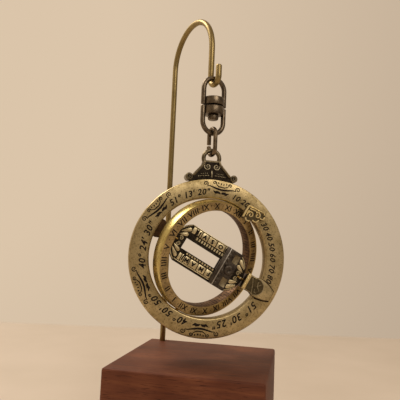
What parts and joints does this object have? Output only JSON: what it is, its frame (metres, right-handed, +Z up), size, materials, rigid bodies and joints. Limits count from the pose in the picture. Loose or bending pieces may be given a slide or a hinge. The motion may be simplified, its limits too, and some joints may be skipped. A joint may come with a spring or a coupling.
{
  "type": "ring dial",
  "caption": "Universal equinoctial ring dial of antique brass: folding hour ring and slotted bridge in a meridian ring, hung by a swivel from a wire hook on a wooden block.",
  "frame": {"origin": "centre of the wooden block's underside", "axes": "+Z up, +X to the viewer's right along the block's front edge, +Y away from the viewer"},
  "size_m": [0.0638, 0.06, 0.182],
  "materials": {
    "wood_block": "oiled reddish brown hardwood, eased edges",
    "hook_brass": "drawn brass wire, lightly tarnished",
    "chain_bronze": "dark antique bronze plating, worn at the edges",
    "hanger_bronze": "dark antique bronze, highlights rubbed bright",
    "ring_brass": "antique brass with dark filled engraving",
    "plate_brass": "antique brass with dark recesses",
    "pin_brass": "turned brass",
    "hour_brass": "antique brass, polished outer wall",
    "bridge_brass": "antique brass with blackened recesses",
    "slider_bronze": "blackened bronze"
  },
  "bodies": {
    "stand": {"base_block": "wood_block", "hook_wire": "hook_brass"},
    "upper_swivel": {"swivel_upper_bail": "chain_bronze", "swivel_stud": "chain_bronze"},
    "lower_swivel": {"swivel_lower_bail": "chain_bronze"},
    "link": {"jump_link": "chain_bronze"},
    "hanger": {"hanger": "hanger_bronze", "hanger_shoe": "hanger_bronze"},
    "meridian": {"meridian_ring": "ring_brass", "front_polar_bracket": "plate_brass", "rear_polar_bracket": "plate_brass", "stop_plate": "plate_brass", "plate_rivets": "pin_brass", "hour_pivot_pins": "pin_brass"},
    "hour": {"hour_ring": "hour_brass"},
    "bridge": {"bridge": "bridge_brass", "bridge_pivot_pins": "pin_brass"},
    "slider": {"slider_front_plate": "slider_bronze", "slider_back_plate": "slider_bronze", "slider_eyelet": "slider_bronze"}
  },
  "joints": [
    {"name": "bail_swing", "type": "hinge", "parent": "stand", "child": "upper_swivel", "pos_m": [0.00276, -0.00243, 0.1455], "axis": [0.6691, -0.7431, 0], "range_deg": [-45, 45]},
    {"name": "swivel_spin", "type": "hinge", "parent": "upper_swivel", "child": "lower_swivel", "pos_m": [0.00276, -0.00243, 0.13565], "axis": [0, 0, 1], "continuous": true},
    {"name": "link_swing", "type": "hinge", "parent": "lower_swivel", "child": "link", "pos_m": [0.00276, -0.00243, 0.12385], "axis": [0.7431, 0.6691, 0], "range_deg": [-45, 18]},
    {"name": "dial_swing", "type": "hinge", "parent": "link", "child": "hanger", "pos_m": [0.00276, -0.00243, 0.1145], "axis": [0.6691, -0.7431, 0], "range_deg": [-40, 40]},
    {"name": "latitude_slide", "type": "hinge", "parent": "hanger", "child": "meridian", "pos_m": [0.00276, -0.00243, 0.0711], "axis": [0.3907, -0.9205, 0], "range_deg": [-60.8, 29.2]},
    {"name": "hour_ring_fold", "type": "hinge", "parent": "meridian", "child": "hour", "pos_m": [0.00276, -0.00243, 0.0711], "axis": [0.4491, 0.1906, 0.8729], "range_deg": [-26.3, 63.7]},
    {"name": "bridge_turn", "type": "hinge", "parent": "meridian", "child": "bridge", "pos_m": [0.00276, -0.00243, 0.0711], "axis": [0.8035, 0.3411, -0.4879], "continuous": true},
    {"name": "slider_slide", "type": "slide", "parent": "bridge", "child": "slider", "axis": [0.8035, 0.3411, -0.4879], "range_m": [-0.017, 0]}
  ]
}
